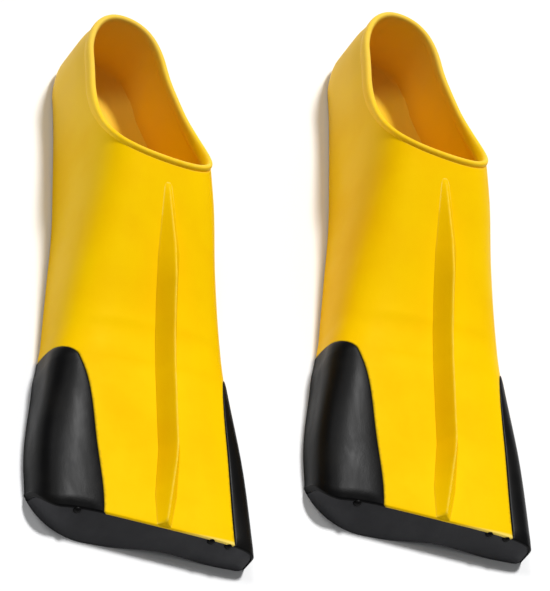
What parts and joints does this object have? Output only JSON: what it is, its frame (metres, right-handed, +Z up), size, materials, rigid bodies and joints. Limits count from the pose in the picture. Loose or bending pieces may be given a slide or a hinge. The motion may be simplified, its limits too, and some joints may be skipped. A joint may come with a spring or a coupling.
{
  "type": "swim fins",
  "caption": "Pair of short-blade closed-heel training fins in moulded rubber, with a hollow foot pocket, beaded collar, centre rib, side rails and a blade that flexes.",
  "frame": {"origin": "on the floor plane under the middle of the pair's outline", "axes": "+Z up from the floor, +Y from the blade tips towards the heels, +X across the pair towards the right-hand fin as seen with the heels away"},
  "size_m": [0.377, 0.451, 0.092],
  "materials": {
    "yellow_rubber": "satin",
    "web_rubber": "satin",
    "black_rubber": "satin"
  },
  "bodies": {
    "left_foot": {"left_foot_pocket": "yellow_rubber", "left_sole": "black_rubber", "left_collar_bead": "yellow_rubber", "left_instep_rib": "yellow_rubber", "left_outer_rail_root": "black_rubber", "left_inner_rail_root": "black_rubber", "left_flex_web": "web_rubber"},
    "left_blade": {"left_blade_core": "black_rubber", "left_blade_skin": "yellow_rubber", "left_blade_rib": "yellow_rubber", "left_outer_rail": "black_rubber", "left_inner_rail": "black_rubber"},
    "right_foot": {"right_foot_pocket": "yellow_rubber", "right_sole": "black_rubber", "right_collar_bead": "yellow_rubber", "right_instep_rib": "yellow_rubber", "right_outer_rail_root": "black_rubber", "right_inner_rail_root": "black_rubber", "right_flex_web": "web_rubber"},
    "right_blade": {"right_blade_core": "black_rubber", "right_blade_skin": "yellow_rubber", "right_blade_rib": "yellow_rubber", "right_outer_rail": "black_rubber", "right_inner_rail": "black_rubber"}
  },
  "joints": [
    {"name": "left_blade_flex", "type": "hinge", "parent": "left_foot", "child": "left_blade", "pos_m": [-0.1005, -0.115, 0.02], "axis": [1, 0, 0], "range_deg": [-22, 22], "stiffness_Nm_per_rad": 8, "deforming": ["left_flex_web"]},
    {"name": "right_blade_flex", "type": "hinge", "parent": "right_foot", "child": "right_blade", "pos_m": [0.1135, -0.066, 0.02], "axis": [1, 0, 0], "range_deg": [-22, 22], "stiffness_Nm_per_rad": 8, "deforming": ["right_flex_web"]},
    {"name": "right_fin_lift", "type": "slide", "parent": "left_foot", "child": "right_foot", "axis": [0, 0, 1], "range_m": [0, 0.3]}
  ]
}
